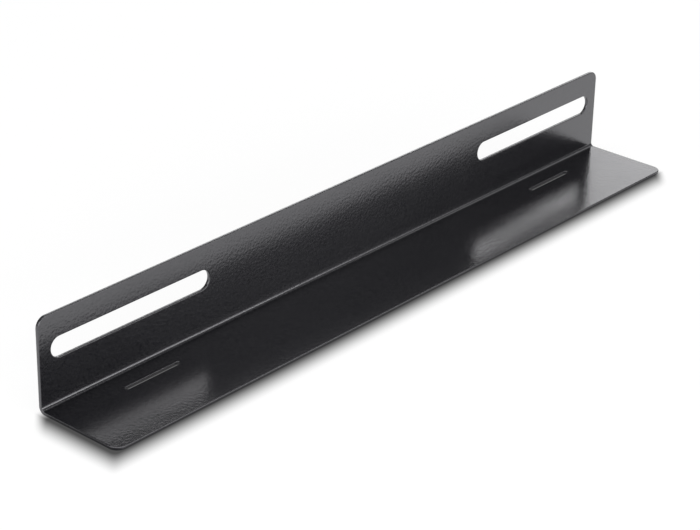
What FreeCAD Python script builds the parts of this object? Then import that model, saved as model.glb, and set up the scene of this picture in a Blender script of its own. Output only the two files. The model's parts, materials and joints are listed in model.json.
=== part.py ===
import FreeCAD, Part
import math
import os

# A rack mounting rail: one strip of steel sheet, folded once into an L.
# The upright bolts to the rack posts through two long slots, and the shelf
# carries the equipment. All sizes are in millimetres.

# Overall sizes, measured over the outside of the sheet
RAIL_LENGTH = 350.0
UPRIGHT_HEIGHT = 40.0
SHELF_DEPTH = 42.5
SHEET_THICKNESS = 1.5

# The fold, the free corners and the coated edges
BEND_INSIDE_RADIUS = 1.5
CORNER_RADIUS = 4.5
EDGE_ROUND = 0.3

# Bolt slots, one near each end of the upright
SLOT_LENGTH = 83.5
SLOT_WIDTH = 8.7
SLOT_END_MARGIN = 6.0
SLOT_CENTRE_HEIGHT = 25.0

# Strap slits in the shelf, one below the middle of each bolt slot
SLIT_LENGTH = 29.0
SLIT_WIDTH = 2.0
SLIT_SETBACK = 11.85

# The origin is on the underside, in the middle of the rail's length and depth
BACK_Y = SHELF_DEPTH / 2
FRONT_Y = -SHELF_DEPTH / 2
HALF_LENGTH = RAIL_LENGTH / 2
BEND_OUTSIDE_RADIUS = BEND_INSIDE_RADIUS + SHEET_THICKNESS
SLOT_CENTRE_X = HALF_LENGTH - SLOT_END_MARGIN - SLOT_LENGTH / 2

ALONG_X = FreeCAD.Vector(1, 0, 0)
ALONG_Y = FreeCAD.Vector(0, 1, 0)
ALONG_Z = FreeCAD.Vector(0, 0, 1)

# A slot tool reaches this far, well past both faces of the sheet
CUTTER_DEPTH = 3 * SHEET_THICKNESS

# Two faces that turn further than this across an edge meet in a cut edge
CUT_EDGE_TURN = math.radians(60)

# Points nearer than this are in the same place
SAME_PLACE = 0.01


def bend_arc(radius, start, end):
    """A quarter circle about the fold's centre line, from start to end."""
    centre = FreeCAD.Vector(-HALF_LENGTH, BACK_Y - BEND_OUTSIDE_RADIUS, BEND_OUTSIDE_RADIUS)
    halfway = FreeCAD.Vector(0, 1, -1).normalize() * radius
    return Part.Arc(start, centre + halfway, end).toShape()


def rail_section():
    """The L section at one end of the rail, with concentric arcs inside and outside the fold."""

    def at(y, z):
        return FreeCAD.Vector(-HALF_LENGTH, y, z)

    inner_y = BACK_Y - SHEET_THICKNESS
    fold_y = BACK_Y - BEND_OUTSIDE_RADIUS
    fold_z = BEND_OUTSIDE_RADIUS
    edges = [
        Part.LineSegment(at(FRONT_Y, 0), at(fold_y, 0)).toShape(),
        bend_arc(BEND_OUTSIDE_RADIUS, at(fold_y, 0), at(BACK_Y, fold_z)),
        Part.LineSegment(at(BACK_Y, fold_z), at(BACK_Y, UPRIGHT_HEIGHT)).toShape(),
        Part.LineSegment(at(BACK_Y, UPRIGHT_HEIGHT), at(inner_y, UPRIGHT_HEIGHT)).toShape(),
        Part.LineSegment(at(inner_y, UPRIGHT_HEIGHT), at(inner_y, fold_z)).toShape(),
        bend_arc(BEND_INSIDE_RADIUS, at(inner_y, fold_z), at(fold_y, SHEET_THICKNESS)),
        Part.LineSegment(at(fold_y, SHEET_THICKNESS), at(FRONT_Y, SHEET_THICKNESS)).toShape(),
        Part.LineSegment(at(FRONT_Y, SHEET_THICKNESS), at(FRONT_Y, 0)).toShape(),
    ]
    return Part.Face(Part.Wire(edges))


def obround_cutter(centre, across, depth_direction, length, width):
    """A round-ended slot tool about centre: long along X, width measured along across."""
    radius = width / 2
    reach = length / 2 - radius
    side = across * radius
    left = centre - ALONG_X * reach
    right = centre + ALONG_X * reach
    outline = Part.Wire(
        [
            Part.LineSegment(left - side, right - side).toShape(),
            Part.Arc(right - side, right + ALONG_X * radius, right + side).toShape(),
            Part.LineSegment(right + side, left + side).toShape(),
            Part.Arc(left + side, left - ALONG_X * radius, left - side).toShape(),
        ]
    )
    tool = Part.Face(outline).extrude(depth_direction * CUTTER_DEPTH)
    tool.translate(depth_direction * (-CUTTER_DEPTH / 2))
    return tool


def free_corner_edges(rail):
    """The short edges through the sheet at the free corners of the upright and the shelf."""

    def at_free_corner(edge):
        middle = edge.CenterOfMass
        at_top = abs(middle.z - UPRIGHT_HEIGHT) < SAME_PLACE
        at_front = abs(middle.y - FRONT_Y) < SAME_PLACE
        at_end = abs(abs(middle.x) - HALF_LENGTH) < SAME_PLACE
        return at_end and (at_top or at_front)

    return [edge for edge in rail.Edges if at_free_corner(edge)]


def cut_edges(rail):
    """Every edge where a cut wall meets a face of the sheet; smooth joins are left out."""

    def normal_at(face, point):
        return face.normalAt(*face.Surface.parameter(point))

    found = []
    for edge in rail.Edges:
        middle = edge.valueAt((edge.FirstParameter + edge.LastParameter) / 2)
        first, second = rail.ancestorsOfType(edge, Part.Face)
        if normal_at(first, middle).getAngle(normal_at(second, middle)) > CUT_EDGE_TURN:
            found.append(edge)
    return found


def mounting_rail():
    """The folded strip: section run along X, corners rounded, slots and slits cut, cut edges eased."""
    rail = rail_section().extrude(ALONG_X * RAIL_LENGTH)
    rail = rail.makeFillet(CORNER_RADIUS, free_corner_edges(rail))
    slot_y = BACK_Y - SHEET_THICKNESS / 2
    slit_y = BACK_Y - SLIT_SETBACK
    slit_z = SHEET_THICKNESS / 2
    for centre_x in (-SLOT_CENTRE_X, SLOT_CENTRE_X):
        slot_centre = FreeCAD.Vector(centre_x, slot_y, SLOT_CENTRE_HEIGHT)
        slit_centre = FreeCAD.Vector(centre_x, slit_y, slit_z)
        rail = rail.cut(obround_cutter(slot_centre, ALONG_Z, ALONG_Y, SLOT_LENGTH, SLOT_WIDTH))
        rail = rail.cut(obround_cutter(slit_centre, ALONG_Y, ALONG_Z, SLIT_LENGTH, SLIT_WIDTH))
    return rail.makeFillet(EDGE_ROUND, cut_edges(rail)).Solids[0]


os.makedirs("parts", exist_ok=True)
mounting_rail().exportStep("parts/mounting_rail.step")
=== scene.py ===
import json
import math

import bpy
import numpy as np
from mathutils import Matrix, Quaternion, Vector


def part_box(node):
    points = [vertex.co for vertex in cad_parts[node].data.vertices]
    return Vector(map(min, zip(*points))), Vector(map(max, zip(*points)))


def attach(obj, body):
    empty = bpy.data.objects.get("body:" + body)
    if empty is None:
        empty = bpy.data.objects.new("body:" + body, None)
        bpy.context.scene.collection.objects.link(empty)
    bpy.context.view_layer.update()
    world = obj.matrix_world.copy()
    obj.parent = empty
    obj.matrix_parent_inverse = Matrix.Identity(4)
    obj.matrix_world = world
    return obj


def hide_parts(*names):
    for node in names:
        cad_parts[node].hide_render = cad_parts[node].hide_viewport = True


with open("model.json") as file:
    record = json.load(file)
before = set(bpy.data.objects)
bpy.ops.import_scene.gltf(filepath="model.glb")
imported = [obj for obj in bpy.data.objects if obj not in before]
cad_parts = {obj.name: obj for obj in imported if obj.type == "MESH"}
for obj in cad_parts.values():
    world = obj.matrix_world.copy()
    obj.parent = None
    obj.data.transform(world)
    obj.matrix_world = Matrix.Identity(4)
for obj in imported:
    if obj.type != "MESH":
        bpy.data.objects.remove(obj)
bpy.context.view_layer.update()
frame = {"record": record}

# A rack mounting rail: one strip of steel sheet with two bolt slots and two strap slits,
# folded once into an L and powder coated black. All lengths are in metres.

MILLIMETRE = 0.001
QUARTER_TURN = math.pi / 2
FULL_TURN = 2 * math.pi
WHITE = (1.0, 1.0, 1.0, 1.0)

# Outside sizes of the folded rail
RAIL_LOW, RAIL_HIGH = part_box("mounting_rail")
HALF_LENGTH = RAIL_HIGH.x
FRONT_Y = RAIL_LOW.y
BACK_Y = RAIL_HIGH.y
UPRIGHT_TOP = RAIL_HIGH.z

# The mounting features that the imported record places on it
MOUNTS = {mount["name"]: mount for mount in frame["record"]["mounts"]}
BOLT_SLOTS = MOUNTS["bolt_slots"]
STRAP_SLITS = MOUNTS["strap_slits"]
SHEET = MOUNTS["equipment_seat"]["pos_m"][2]

# The fold, the free corners and the eased edges
BEND_INSIDE = 1.5 * MILLIMETRE
CORNER_RADIUS = 4.5 * MILLIMETRE
EDGE_ROUND = 0.3 * MILLIMETRE

# The flat blank before it was folded: u runs along the rail, v across it from the
# shelf's front edge, and n up from the face that becomes the underside and the back
BEND_OUTSIDE = BEND_INSIDE + SHEET
BEND_MIDDLE = BEND_INSIDE + SHEET / 2
FOLD_Y = BACK_Y - BEND_OUTSIDE
FOLD_START = FOLD_Y - FRONT_Y
FOLD_END = FOLD_START + QUARTER_TURN * BEND_MIDDLE
BLANK_WIDTH = FOLD_END + UPRIGHT_TOP - BEND_OUTSIDE

# Largest cells of the blank's grid, and the narrow ring that keeps each rim's face flat
FACE_STEP = 2.5 * MILLIMETRE
ROUND_STEP = 0.6 * MILLIMETRE
SLIT_STEP = 0.3 * MILLIMETRE
BEND_STEP = 0.3 * MILLIMETRE
HOLD = 0.15 * MILLIMETRE
EDGE_SEGMENTS = 5

# Tiny values that keep a rounding error from adding a cell, and a length from being nothing
CELL_TOLERANCE = 1e-6
SHORTEST_OFFSET = 1e-12

# How far the pull round a slot or a slit reaches into the face
SLOT_PULL = 5.0 * MILLIMETRE
SLIT_PULL = 3.0 * MILLIMETRE

# Slow swell of the folded sheet, towards its inner side only.
# Each wave has a length along the rail, a length across the blank and a phase in radians.
SWELL_DEPTH = 0.05 * MILLIMETRE
SWELL_WAVES = ((0.113, 0.21, 0.0), (0.067, -0.094, 1.3), (0.043, 0.055, 2.1))

# The coat: scales of its noises per metre and their detail, its relief, shades and gloss
PEEL_SCALE = 850.0
PEEL_DETAIL = 1.0
PEEL_HEIGHT = 0.055 * MILLIMETRE
PATCH_SCALE = 45.0
PATCH_DETAIL = 3.0
GRAIN_SCALE = 900.0
GRAIN_DETAIL = 1.0
NOISE_LOW = 0.3
NOISE_HIGH = 0.7
COAT_DARK = (0.001, 0.001, 0.0025, 1.0)
COAT_LIGHT = (0.009, 0.009, 0.0105, 1.0)
COAT_SMOOTH = 0.19
COAT_ROUGH = 0.22
COAT_IOR = 1.95
COAT_TINT = (0.965, 0.957, 1.0, 1.0)

# The floor: white paper just under the rail, wide enough to reach the horizon. The camera sees it
# partly as a white glow and partly by its real light, and reflections see it as a white glow; a soft shade
# round the rail and light under the slits are painted into both.
FLOOR_HALF = 30.0
FLOOR_Z = -0.05 * MILLIMETRE
FLOOR_COLOUR = 0.88
FLOOR_GLOW = 1.1
FLOOR_GLOW_SHARE = 0.75
FLOOR_REFLECTED = 1.1

# The painted soft shade on the floor, a shadow drawn into its colour by how far it reaches out from the
# rail's
# front and near edges: the wide one that the camera sees, and the painted contact shade that reflections see
SHADE_FROM = -2.5 * MILLIMETRE
SHADE_TO = 11.5 * MILLIMETRE
CONTACT_FROM = -1.5 * MILLIMETRE
CONTACT_TO = 5.0 * MILLIMETRE

# How far the painted shade stops short of the far and the back edge and starts past the near one, and how
# softly
SHADE_INSET = 2.0 * MILLIMETRE
SHADE_NEAR_EXTRA = 1.2 * MILLIMETRE
SHADE_SOFTNESS = 4.0 * MILLIMETRE

# Painted light on the floor under the strap slits, for light falling through them: its share under a slit's
# middle, and its reach
SLIT_LIGHT = 0.35
SLIT_LIGHT_REACH = 2.0 * MILLIMETRE

# Studio light: an even dim room, and soft panels that stand low round the rail. Each panel has
# the azimuths and the elevations that it spans as the rail sees it, in degrees, and its radiance.
ROOM_GLOW = 0.12
LAMP_DISTANCE = 1.3
PANELS = {
    "back_low_panel": ((25.0, 55.0), (10.0, 25.0), 2.3),
    "back_panel": ((25.0, 48.0), (23.0, 33.0), 0.9),
    "back_high_panel": ((20.0, 48.0), (33.0, 50.0), 0.4),
    "back_right_panel": ((48.0, 57.0), (18.0, 25.0), 0.6),
    "right_panel": ((58.4, 77.0), (0.0, 29.0), 2.1),
    "side_high_panel": ((82.0, 109.0), (25.0, 46.0), 0.85),
    "side_panel": ((122.0, 131.0), (10.0, 28.0), 0.4),
    "front_right_panel": ((131.0, 141.0), (9.0, 22.0), 1.95),
    "front_right_high_panel": ((131.0, 141.0), (22.0, 38.0), 0.72),
    "front_panel": ((141.0, 225.0), (3.0, 26.0), 3.3),
    "left_panel": ((225.0, 300.0), (5.0, 45.0), 2.0),
    "top_panel": ((-30.0, 30.0), (60.0, 120.0), 1.0),
}

# The camera: where it aims, where it stands from there, its roll in degrees, and its lens in millimetres
CAMERA_AIM = Vector((-0.000505, 0.019716, 0.0))
CAMERA_DISTANCE = 0.94943
CAMERA_AZIMUTH = 229.228
CAMERA_ELEVATION = 26.271
CAMERA_ROLL = 1.281
CAMERA_LENS = 114.306
CAMERA_SENSOR = 36.0


class Hole:
    """A round-ended hole in the blank: the points nearer than radius to a line along u."""

    def __init__(self, mount, side, v, pull):
        dims = mount["dims"]
        self.radius = dims["hole_r_mm"] * MILLIMETRE
        self.reach = dims["slot_length_mm"] * MILLIMETRE / 2 - self.radius
        self.u = side * dims["spacing_x_mm"] * MILLIMETRE / 2
        self.v = v
        self.rim = self.radius + EDGE_ROUND
        self.pull = pull

    def offset(self, u, v):
        """The step to each point from the nearest point of the hole's middle line."""
        nearest = np.clip(u, self.u - self.reach, self.u + self.reach)
        return np.stack([u - nearest, v - self.v], axis=-1)

    def inward(self, u, v):
        """The step from each point to the nearest point of the hole's middle line."""
        return -self.offset(u, v)


def bolt_slot(side):
    """The bolt slot at one end, with its height on the upright taken back to the flat blank."""
    height = BOLT_SLOTS["pos_m"][2]
    return Hole(BOLT_SLOTS, side, FOLD_END + height - BEND_OUTSIDE, SLOT_PULL)


def strap_slit(side):
    """The strap slit at one end, by its distance from the shelf's front edge."""
    return Hole(STRAP_SLITS, side, STRAP_SLITS["pos_m"][1] - FRONT_Y, SLIT_PULL)


def lines_through(start, stops):
    """Grid lines from start through each stop; a stretch is cut into equal cells no longer than its step."""
    places = [np.array([start])]
    for stop, step in stops:
        last = places[-1][-1]
        cells = max(1, math.ceil((stop - last) / step - CELL_TOLERANCE))
        places.append(np.linspace(last, stop, cells + 1)[1:])
    return np.concatenate(places)


def lines_along():
    """Grid lines along the rail: from the middle to one end, through both holes' ends, then mirrored."""
    slot = bolt_slot(1)
    slit = strap_slit(1)
    end = HALF_LENGTH - EDGE_ROUND
    half = lines_through(
        0.0,
        [
            (slot.u - slot.reach - slot.rim - HOLD, FACE_STEP),
            (slot.u - slot.reach - slot.rim, HOLD),
            (slot.u - slot.reach, ROUND_STEP),
            (slit.u - slit.reach - slit.rim - HOLD, FACE_STEP),
            (slit.u - slit.reach - slit.rim, HOLD),
            (slit.u - slit.reach, SLIT_STEP),
            (slit.u + slit.reach, FACE_STEP),
            (slit.u + slit.reach + slit.rim, SLIT_STEP),
            (slit.u + slit.reach + slit.rim + HOLD, HOLD),
            (slot.u + slot.reach, FACE_STEP),
            (slot.u + slot.reach + slot.rim, ROUND_STEP),
            (slot.u + slot.reach + slot.rim + HOLD, HOLD),
            (HALF_LENGTH - CORNER_RADIUS, FACE_STEP),
            (end - HOLD, ROUND_STEP),
            (end, HOLD),
        ],
    )
    return np.concatenate([-half[:0:-1], half])


def lines_across():
    """Grid lines across the blank: the shelf from its front edge, the fold, and the upright to its top."""
    slot = bolt_slot(1)
    slit = strap_slit(1)
    end = BLANK_WIDTH - EDGE_ROUND
    return lines_through(
        EDGE_ROUND,
        [
            (EDGE_ROUND + HOLD, HOLD),
            (CORNER_RADIUS, ROUND_STEP),
            (slit.v - slit.rim - HOLD, FACE_STEP),
            (slit.v - slit.rim, HOLD),
            (slit.v, SLIT_STEP),
            (slit.v + slit.rim, SLIT_STEP),
            (slit.v + slit.rim + HOLD, HOLD),
            (FOLD_START, FACE_STEP),
            (FOLD_END, BEND_STEP),
            (slot.v - slot.rim - HOLD, FACE_STEP),
            (slot.v - slot.rim, HOLD),
            (slot.v, ROUND_STEP),
            (slot.v + slot.rim, ROUND_STEP),
            (slot.v + slot.rim + HOLD, HOLD),
            (BLANK_WIDTH - CORNER_RADIUS, FACE_STEP),
            (end - HOLD, ROUND_STEP),
            (end, HOLD),
        ],
    )


def nearest_line(lines, place):
    """The number of the grid line that lies nearest to a place."""
    return int(np.abs(lines - place).argmin())


def square_reach(offset):
    """The larger of the two sides of each offset: its square frame's half width."""
    return np.abs(offset).max(axis=-1)


def rounded(offset, share):
    """Draws square frames towards circles: an offset is shortened to its frame's half width, by a share."""
    length = np.maximum(np.linalg.norm(offset, axis=-1), SHORTEST_OFFSET)
    factor = 1.0 - share + share * square_reach(offset) / length
    return offset * factor[..., None]


def corner_offset(u, v):
    """The step to each point from the rectangle through the four corner centres."""
    inner_u = HALF_LENGTH - CORNER_RADIUS
    nearest_u = np.clip(u, -inner_u, inner_u)
    nearest_v = np.clip(v, CORNER_RADIUS, BLANK_WIDTH - CORNER_RADIUS)
    return np.stack([u - nearest_u, v - nearest_v], axis=-1)


def drawn_blank(u, v, holes):
    """The grid of the flat blank with its lines drawn round the free corners and the holes.

    In each corner the square frames about the corner's centre become arcs, more so towards the edge. Round a
    hole they become its rim, and the pull fades to nothing over the hole's own reach into the face.
    """
    offset = corner_offset(u, v)
    share = np.clip(square_reach(offset) / (CORNER_RADIUS - EDGE_ROUND), 0.0, 1.0)
    drawn = np.stack([u, v], axis=-1) - offset + rounded(offset, share)
    for hole in holes:
        offset = hole.offset(u, v)
        share = np.clip(1.0 - (square_reach(offset) - hole.rim) / hole.pull, 0.0, 1.0)
        drawn = drawn - offset + rounded(offset, share)
    return drawn


def swell(u, v):
    """Slow unevenness of the sheet: the mean of crossing sine waves, taken from nothing to SWELL_DEPTH."""
    waves = [np.sin(FULL_TURN * (u / along + v / across) + phase) for along, across, phase in SWELL_WAVES]
    return SWELL_DEPTH * (np.mean(waves, axis=0) + 1.0) / 2


def folded(u, v, n):
    """Bends points of the flat blank round the fold's axis.

    Before the fold a point keeps its place on the shelf. In the fold it turns about the axis by its way into
    the fold over the middle radius, and past the quarter turn it goes straight up the upright.
    """
    turn = np.clip((v - FOLD_START) / BEND_MIDDLE, 0.0, QUARTER_TURN)
    before = np.minimum(v - FOLD_START, 0.0)
    past = np.maximum(v - FOLD_END, 0.0)
    radius = BEND_OUTSIDE - n - swell(u, v)
    y = FOLD_Y + before + radius * np.sin(turn)
    z = BEND_OUTSIDE - radius * np.cos(turn) + past
    return np.stack([u, y, z], axis=-1)


def at_height(flat, height):
    """Points of a plane with one height added to each."""
    return np.column_stack([flat, np.full(len(flat), height)])


def ring(columns, rows):
    """Grid places (column, row) once and anticlockwise round a block, by its end columns and end rows."""
    across = np.arange(columns[0], columns[1])
    up = np.arange(rows[0], rows[1])
    back = np.arange(columns[1], columns[0], -1)
    down = np.arange(rows[1], rows[0], -1)
    column = np.concatenate([across, np.full(up.size, columns[1]), back, np.full(down.size, columns[0])])
    row = np.concatenate([np.full(across.size, rows[0]), up, np.full(back.size, rows[1]), down])
    return column, row


def rims(along, across, holes):
    """Each rim's ring of grid places, with the function that gives its steps away from the sheet.

    The outline runs anticlockwise and steps away from the corner centres. A hole's rim runs clockwise and
    steps towards the hole's middle line.
    """
    found = [(ring((0, along.size - 1), (0, across.size - 1)), corner_offset)]
    for hole in holes:
        columns = [nearest_line(along, hole.u + side * (hole.reach + hole.rim)) for side in (-1, 1)]
        rows = [nearest_line(across, hole.v + side * hole.rim) for side in (-1, 1)]
        column, row = ring(columns, rows)
        found.append(((column[::-1], row[::-1]), hole.inward))
    return found


def edge_profile():
    """The cut edge's section from the inner face to the outer one: steps out of the face, and heights.

    A quarter circle turns from the inner face into the wall, and a second one from the wall into the outer
    face.
    """
    turn = np.linspace(0.0, QUARTER_TURN, EDGE_SEGMENTS + 1)
    step = np.concatenate([np.sin(turn), np.cos(turn)]) * EDGE_ROUND
    upper = SHEET - EDGE_ROUND + np.cos(turn) * EDGE_ROUND
    lower = EDGE_ROUND - np.sin(turn) * EDGE_ROUND
    return step, np.concatenate([upper, lower])


def edge_band(edge, away, inner, outer, first):
    """The edge's section carried round one rim: new points, numbered from first, and the quads between them.

    A new point is a point of the rim, moved by the section's step along the rim's unit step away from the
    sheet, at the section's height. The section's two ends are the rim's own points on the two faces.
    """
    steps, heights = edge_profile()
    out = away(edge[:, 0], edge[:, 1])
    out = out / np.linalg.norm(out, axis=-1, keepdims=True)
    carried = edge[None] + steps[1:-1, None, None] * out[None]
    lifted = np.broadcast_to(heights[1:-1, None, None], carried.shape[:2] + (1,))
    points = np.concatenate([carried, lifted], axis=-1).reshape(-1, 3)
    between = first + np.arange(len(points)).reshape(-1, len(edge))
    rings = np.concatenate([inner[None], between, outer[None]])
    after = np.roll(rings, -1, axis=1)
    quads = np.stack([rings[:-1], rings[1:], after[1:], after[:-1]], axis=-1)
    return points, quads.reshape(-1, 4)


def face_cells(number, u, v, holes):
    """The grid's four-sided cells, by their points' numbers, without those whose middle is in a hole."""
    middle_u = (u[:-1, :-1] + u[1:, 1:]) / 2
    middle_v = (v[:-1, :-1] + v[1:, 1:]) / 2
    kept = np.ones(middle_u.shape, bool)
    for hole in holes:
        kept &= square_reach(hole.offset(middle_u, middle_v)) > hole.rim
    cells = np.stack([number[:-1, :-1], number[:-1, 1:], number[1:, 1:], number[1:, :-1]], axis=-1)
    return cells[kept]


def rail_surface():
    """Points and four-sided faces of the whole rail, as one closed surface.

    The drawn blank gives the inner face at the sheet's full height and the outer face at none, without the
    cells inside the holes. Between them the edge's section is carried round the outline and each hole, and
    the points that are used are bent round the fold.
    """
    holes = [bolt_slot(-1), bolt_slot(1), strap_slit(-1), strap_slit(1)]
    along = lines_along()
    across = lines_across()
    u, v = np.meshgrid(along, across)
    number = np.arange(u.size).reshape(u.shape)
    flat = drawn_blank(u, v, holes).reshape(-1, 2)
    cells = face_cells(number, u, v, holes)
    points = [at_height(flat, SHEET), at_height(flat, 0.0)]
    quads = [cells, cells[:, ::-1] + u.size]
    count = 2 * u.size
    for (column, row), away in rims(along, across, holes):
        inner = number[row, column]
        band, strip = edge_band(flat[inner], away, inner, inner + u.size, count)
        points.append(band)
        quads.append(strip)
        count += len(band)
    used, quads = np.unique(np.concatenate(quads), return_inverse=True)
    blank = np.concatenate(points)[used]
    return folded(blank[:, 0], blank[:, 1], blank[:, 2]), quads.reshape(-1, 4)


def mesh_piece(name, points, quads, material):
    """A smooth-shaded mesh object at the origin, from an array of points and an array of quads."""
    mesh = bpy.data.meshes.new(name)
    mesh.vertices.add(len(points))
    mesh.vertices.foreach_set("co", points.astype(np.float32).ravel())
    mesh.loops.add(quads.size)
    mesh.loops.foreach_set("vertex_index", quads.astype(np.int32).ravel())
    mesh.polygons.add(len(quads))
    mesh.polygons.foreach_set("loop_start", np.arange(0, quads.size, 4, dtype=np.int32))
    mesh.polygons.foreach_set("use_smooth", np.ones(len(quads), bool))
    mesh.update(calc_edges=True)
    mesh.validate()
    mesh.materials.append(material)
    piece = bpy.data.objects.new(name, mesh)
    bpy.context.scene.collection.objects.link(piece)
    return piece


def node(tree, kind, inputs=None, **settings):
    """A shader node with its settings; each input takes a value, or a link where a socket is given."""
    made = tree.nodes.new(kind)
    for name, value in settings.items():
        setattr(made, name, value)
    for name, value in (inputs or {}).items():
        if isinstance(value, bpy.types.NodeSocket):
            tree.links.new(value, made.inputs[name])
        else:
            made.inputs[name].default_value = value
    return made


def maths(tree, operation, *values):
    """One step of arithmetic on values or sockets."""
    return node(tree, "ShaderNodeMath", dict(enumerate(values)), operation=operation).outputs["Value"]


def noise(tree, place, scale, detail):
    """Soft noise of the given scale per metre."""
    inputs = {"Vector": place, "Scale": scale, "Detail": detail}
    return node(tree, "ShaderNodeTexNoise", inputs).outputs["Fac"]


def spread(tree, value, low, high):
    """Takes a noise's middle range to the range from low to high."""
    inputs = {"Value": value, "From Min": NOISE_LOW, "From Max": NOISE_HIGH, "To Min": low, "To Max": high}
    return node(tree, "ShaderNodeMapRange", inputs).outputs["Result"]


def eased(tree, value, start, end, first, last):
    """Goes gently from first, where the value is at start, to last, where it is at end."""
    inputs = {"Value": value, "From Min": start, "From Max": end, "To Min": first, "To Max": last}
    return node(tree, "ShaderNodeMapRange", inputs, interpolation_type="SMOOTHSTEP").outputs["Result"]


def mixed(tree, share, first, second):
    """A shader that goes from the first to the second by the given share."""
    return node(tree, "ShaderNodeMixShader", {0: share, 1: first, 2: second}).outputs["Shader"]


def empty_material(name):
    """A new material whose tree holds only its output node."""
    material = bpy.data.materials.new(name)
    material.use_nodes = True
    tree = material.node_tree
    tree.nodes.clear()
    return material, tree, tree.nodes.new("ShaderNodeOutputMaterial")


def powder_coat():
    """Black semi-gloss powder coat: a fine orange peel, slightly uneven in shade and in gloss."""
    material, tree, output = empty_material("powder_coat_black")
    place = node(tree, "ShaderNodeTexCoord").outputs["Object"]
    peel = noise(tree, place, PEEL_SCALE, PEEL_DETAIL)
    patches = noise(tree, place, PATCH_SCALE, PATCH_DETAIL)
    grain = noise(tree, place, GRAIN_SCALE, GRAIN_DETAIL)
    peeled = node(tree, "ShaderNodeBump", {"Height": peel, "Distance": PEEL_HEIGHT})
    shade = node(
        tree,
        "ShaderNodeMix",
        {"Factor": spread(tree, grain, 0.0, 1.0), "A": COAT_DARK, "B": COAT_LIGHT},
        data_type="RGBA",
    )
    coat = node(
        tree,
        "ShaderNodeBsdfPrincipled",
        {
            "Base Color": shade.outputs["Result"],
            "Roughness": spread(tree, patches, COAT_SMOOTH, COAT_ROUGH),
            "IOR": COAT_IOR,
            "Specular Tint": COAT_TINT,
            "Normal": peeled.outputs["Normal"],
        },
    )
    tree.links.new(coat.outputs["BSDF"], output.inputs["Surface"])
    return material


def painted_shade_reach(tree, axes):
    """How far each floor point lies out from the rail's footprint, and whether it can take the painted
    shade.

    The reach is the larger of the steps out of the front edge and out of a line a little past the near edge.
    A point is shaded where that step, taken back to the right and to the rear, ends inside the footprint.
    """
    front = maths(tree, "SUBTRACT", FRONT_Y, axes["Y"])
    near = maths(tree, "SUBTRACT", -HALF_LENGTH - SHADE_NEAR_EXTRA, axes["X"])
    reach = maths(tree, "MAXIMUM", maths(tree, "SMOOTH_MAX", front, near, SHADE_SOFTNESS), 0.0)
    inside = []
    for axis, edge in (("X", HALF_LENGTH), ("Y", BACK_Y)):
        foot = maths(tree, "ADD", axes[axis], reach)
        limit = edge - SHADE_INSET
        inside.append(eased(tree, foot, limit - SHADE_SOFTNESS, limit + SHADE_SOFTNESS, 1.0, 0.0))
    return reach, maths(tree, "MULTIPLY", *inside)


def painted_slit_light(tree, axes):
    """The share of painted light on the floor under the strap slits, standing in for light falling through
    them.

    It fades with the distance from a slit's middle line, which is worked out for both slits at once from the
    size of x: the step past the line's end along the rail, and the step aside from the line across it.
    """
    slit = strap_slit(1)
    along = maths(tree, "SUBTRACT", maths(tree, "ABSOLUTE", axes["X"]), slit.u)
    past = maths(tree, "MAXIMUM", maths(tree, "SUBTRACT", maths(tree, "ABSOLUTE", along), slit.reach), 0.0)
    aside = maths(tree, "SUBTRACT", axes["Y"], FRONT_Y + slit.v)
    step = node(tree, "ShaderNodeCombineXYZ", {"X": past, "Y": aside}).outputs["Vector"]
    distance = node(tree, "ShaderNodeVectorMath", {0: step}, operation="LENGTH").outputs["Value"]
    return eased(tree, distance, 0.0, SLIT_LIGHT_REACH, SLIT_LIGHT, 0.0)


def painted_light_share(tree, reach, inside, through, start, end):
    """The share of light on the floor: what a painted shade between two reaches leaves, or the painted slit
    light.
    """
    shade = eased(tree, reach, start, end, 1.0, 0.0)
    left = maths(tree, "SUBTRACT", 1.0, maths(tree, "MULTIPLY", shade, inside))
    return maths(tree, "MAXIMUM", left, through)


def glowing(tree, light, strength):
    """White light of a strength, times the share of light that the painted shade leaves."""
    glow = node(tree, "ShaderNodeEmission", {"Strength": maths(tree, "MULTIPLY", light, strength)})
    return glow.outputs["Emission"]


def floor_paper():
    """Matt white paper with the rail's soft shade painted into its colour and glow; reflections see it white
    up to a narrow painted contact shade.
    """
    material, tree, output = empty_material("floor_paper")
    path = node(tree, "ShaderNodeLightPath").outputs
    place = node(tree, "ShaderNodeTexCoord").outputs["Object"]
    axes = node(tree, "ShaderNodeSeparateXYZ", {"Vector": place}).outputs
    reach, inside = painted_shade_reach(tree, axes)
    through = painted_slit_light(tree, axes)
    # Painted shade: the light share left by the drawn shadow for the camera, and by the narrow contact shade
    # for reflections
    light = painted_light_share(tree, reach, inside, through, SHADE_FROM, SHADE_TO)
    contact = painted_light_share(tree, reach, inside, through, CONTACT_FROM, CONTACT_TO)
    # The paper's own colour is darkened by the painted shade as well
    grey = maths(tree, "MULTIPLY", light, FLOOR_COLOUR)
    colour = node(tree, "ShaderNodeCombineColor", {"Red": grey, "Green": grey, "Blue": grey})
    paper = node(tree, "ShaderNodeBsdfDiffuse", {"Color": colour.outputs["Color"]}).outputs["BSDF"]
    glow_share = maths(tree, "MULTIPLY", path["Is Camera Ray"], FLOOR_GLOW_SHARE)
    seen = mixed(tree, glow_share, paper, glowing(tree, light, FLOOR_GLOW))
    mirrored = maths(tree, "MAXIMUM", path["Is Glossy Ray"], path["Is Transmission Ray"])
    both = mixed(tree, mirrored, seen, glowing(tree, contact, FLOOR_REFLECTED))
    tree.links.new(both, output.inputs["Surface"])
    return material


def floor_sheet():
    """One square of floor paper round the origin."""
    corners = np.array([[-1, -1], [1, -1], [1, 1], [-1, 1]]) * FLOOR_HALF
    return mesh_piece("floor", at_height(corners, FLOOR_Z), np.arange(4).reshape(1, 4), floor_paper())


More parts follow.
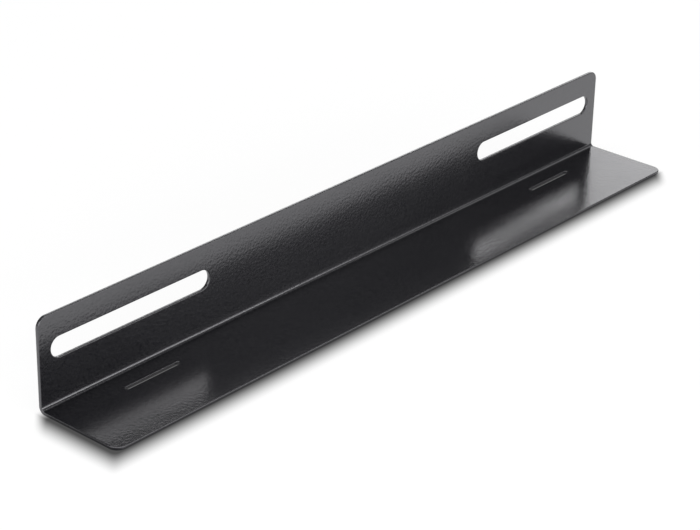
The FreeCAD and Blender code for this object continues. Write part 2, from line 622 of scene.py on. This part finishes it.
def dim_room():
    """An even dim room round the rail."""
    world = bpy.data.worlds.new("dim_room")
    world.use_nodes = True
    tree = world.node_tree
    tree.nodes.clear()
    room = node(tree, "ShaderNodeBackground", {"Color": WHITE, "Strength": ROOM_GLOW})
    output = tree.nodes.new("ShaderNodeOutputWorld")
    tree.links.new(room.outputs["Background"], output.inputs["Surface"])
    bpy.context.scene.world = world


def direction(azimuth, elevation):
    """Unit step towards an azimuth, counted from +Y towards +X, and an elevation, both in degrees."""
    turn = math.radians(azimuth)
    rise = math.radians(elevation)
    return Vector((math.sin(turn) * math.cos(rise), math.cos(turn) * math.cos(rise), math.sin(rise)))


def placed(name, data, location, turn):
    """A lamp or a camera in the scene, at a location and turned by a quaternion."""
    made = bpy.data.objects.new(name, data)
    made.location = location
    made.rotation_mode = "QUATERNION"
    made.rotation_quaternion = turn
    bpy.context.scene.collection.objects.link(made)
    return made


def span_width(span):
    """The side of a panel that spans two angles: twice its distance times the tangent of half the span."""
    return 2 * LAMP_DISTANCE * math.tan(math.radians(span[1] - span[0]) / 2)


def softbox(name, azimuths, elevations, radiance):
    """A flat lamp facing the rail, unseen by the camera. Its power is pi times its area and its radiance."""
    lamp = bpy.data.lights.new(name, "AREA")
    lamp.shape = "RECTANGLE"
    lamp.size = span_width(azimuths)
    lamp.size_y = span_width(elevations)
    lamp.energy = math.pi * span_width(azimuths) * span_width(elevations) * radiance
    away = direction(sum(azimuths) / 2, sum(elevations) / 2)
    panel = placed(name, lamp, away * LAMP_DISTANCE, away.to_track_quat("Z", "Y"))
    panel.visible_camera = False


def aim_camera():
    """The camera that the scene is seen by, turned towards its aim and then rolled about its own axis."""
    lens = bpy.data.cameras.new("camera")
    lens.sensor_fit = "HORIZONTAL"
    lens.sensor_width = CAMERA_SENSOR
    lens.lens = CAMERA_LENS
    away = direction(CAMERA_AZIMUTH, CAMERA_ELEVATION)
    roll = Quaternion((0.0, 0.0, 1.0), math.radians(CAMERA_ROLL))
    turn = away.to_track_quat("Z", "Y") @ roll
    bpy.context.scene.camera = placed("camera", lens, CAMERA_AIM + away * CAMERA_DISTANCE, turn)


rail = mesh_piece("rail", *rail_surface(), powder_coat())
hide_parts("mounting_rail")
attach(rail, "root")

floor = floor_sheet()

dim_room()
for panel, span in PANELS.items():
    softbox(panel, *span)

aim_camera()
bpy.context.scene.view_settings.view_transform = "Standard"
